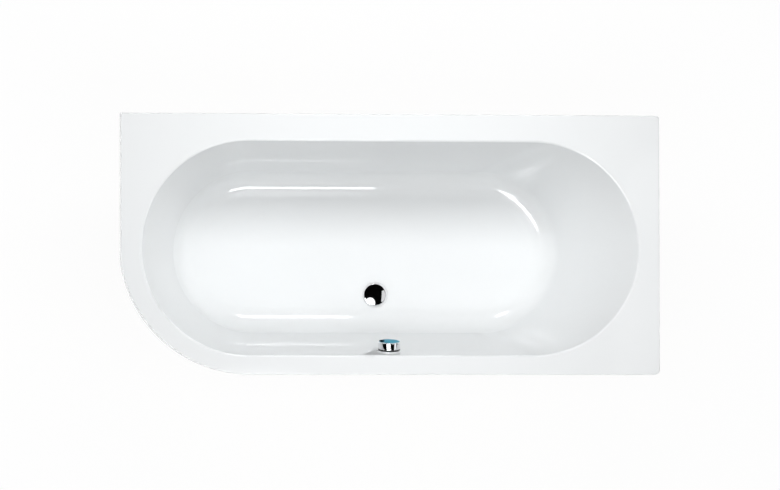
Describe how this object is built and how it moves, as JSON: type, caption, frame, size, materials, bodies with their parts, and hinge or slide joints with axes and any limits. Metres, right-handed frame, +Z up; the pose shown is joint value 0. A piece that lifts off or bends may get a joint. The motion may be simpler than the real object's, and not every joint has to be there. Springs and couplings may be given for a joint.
{
  "type": "double ended bath",
  "caption": "White inset bath with a rounded front corner, a long bowl with two sloping round ends, a pop-up waste in the floor and a turning overflow knob that lifts the plug.",
  "frame": {"origin": "floor level, under the middle of the rim's outline", "axes": "+X along the bath to its square end, +Y to the straight back edge, +Z up"},
  "size_m": [1.7, 0.815, 0.6],
  "materials": {
    "acrylic": "high gloss white acrylic sheet",
    "glass_fibre": "rough sprayed glass fibre",
    "board": "raw chipboard",
    "batten": "raw chipboard strip",
    "zinc_steel": "bright zinc plated steel",
    "stud_steel": "zinc plated thread",
    "fastener": "zinc plated",
    "foot_plastic": "black moulded plastic",
    "chrome": "polished chrome plate",
    "seal_rubber": "black rubber",
    "drain_plastic": "grey moulded plastic",
    "trap_plastic": "white moulded plastic",
    "hose_plastic": "ribbed grey plastic",
    "cable_plastic": "black cable casing",
    "inner_metal": "stainless steel"
  },
  "bodies": {
    "bath": {"back_rim_batten": "batten", "base_board": "board", "bath_shell": "acrylic", "cable_sheath": "cable_plastic", "centre_leg_nut": "fastener", "centre_leg_plate": "zinc_steel", "centre_leg_screws": "fastener", "front_left_rim_batten": "batten", "front_right_rim_batten": "batten", "glassfibre_backing": "glass_fibre", "hose_bottom_nut": "drain_plastic", "hose_top_nut": "drain_plastic", "left_leg_rail": "zinc_steel", "left_rim_batten": "batten", "left_wall_bracket": "zinc_steel", "leg_lower_nuts": "fastener", "leg_rail_screws": "fastener", "leg_upper_nuts": "fastener", "overflow_body": "drain_plastic", "overflow_faceplate": "chrome", "overflow_gasket": "seal_rubber", "overflow_hose": "hose_plastic", "right_leg_rail": "zinc_steel", "right_rim_batten": "batten", "right_wall_bracket": "zinc_steel", "trap_body": "trap_plastic", "trap_inlet_nut": "trap_plastic", "trap_inlet_washer": "seal_rubber", "trap_outlet_nut": "trap_plastic", "trap_outlet_seal": "seal_rubber", "wall_bracket_screws": "fastener", "waste_body": "drain_plastic", "waste_bottom_seal": "seal_rubber", "waste_fixing_screw": "inner_metal", "waste_flange": "chrome", "waste_top_seal": "seal_rubber"},
    "knob": {"overflow_knob": "chrome", "overflow_spindle": "inner_metal", "knob_grub_screw": "fastener"},
    "plug": {"waste_plug": "chrome", "plug_seal": "seal_rubber"},
    "lever": {"lift_lever": "inner_metal", "lever_crank": "inner_metal"},
    "wire": {"pull_wire": "inner_metal"},
    "front_left_foot": {"front_left_leg_stud": "stud_steel", "front_left_foot_pad": "foot_plastic"},
    "front_right_foot": {"front_right_leg_stud": "stud_steel", "front_right_foot_pad": "foot_plastic"},
    "back_left_foot": {"back_left_leg_stud": "stud_steel", "back_left_foot_pad": "foot_plastic"},
    "back_right_foot": {"back_right_leg_stud": "stud_steel", "back_right_foot_pad": "foot_plastic"},
    "centre_foot": {"centre_leg_stud": "stud_steel", "centre_foot_pad": "foot_plastic"}
  },
  "joints": [
    {"name": "knob_turn", "type": "hinge", "parent": "bath", "child": "knob", "pos_m": [0, -0.33309, 0.535], "axis": [0, 0.9763, 0.2164], "range_deg": [0, 120]},
    {"name": "plug_lift", "type": "slide", "parent": "bath", "child": "plug", "axis": [0, 0, 1], "range_m": [0, 0.012]},
    {"name": "lever_tilt", "type": "hinge", "parent": "bath", "child": "lever", "pos_m": [0, -0.12639, 0.116], "axis": [-1, 0, 0], "range_deg": [0, 34.91]},
    {"name": "wire_pull", "type": "slide", "parent": "bath", "child": "wire", "axis": [0, -1, 0], "range_m": [0, 0.0084]},
    {"name": "front_left_foot_screw", "type": "slide", "parent": "bath", "child": "front_left_foot", "axis": [0, 0, 1], "range_m": [-0.02, 0.02]},
    {"name": "front_right_foot_screw", "type": "slide", "parent": "bath", "child": "front_right_foot", "axis": [0, 0, 1], "range_m": [-0.02, 0.02]},
    {"name": "back_left_foot_screw", "type": "slide", "parent": "bath", "child": "back_left_foot", "axis": [0, 0, 1], "range_m": [-0.02, 0.02]},
    {"name": "back_right_foot_screw", "type": "slide", "parent": "bath", "child": "back_right_foot", "axis": [0, 0, 1], "range_m": [-0.02, 0.02]},
    {"name": "centre_foot_screw", "type": "slide", "parent": "bath", "child": "centre_foot", "axis": [0, 0, 1], "range_m": [-0.02, 0.02]}
  ],
  "couplings": [
    {"joint": "plug_lift", "follows": "knob_turn", "m_per_rad": 0.0057295},
    {"joint": "lever_tilt", "follows": "knob_turn", "ratio": 0.29096},
    {"joint": "wire_pull", "follows": "knob_turn", "m_per_rad": 0.0040107}
  ]
}
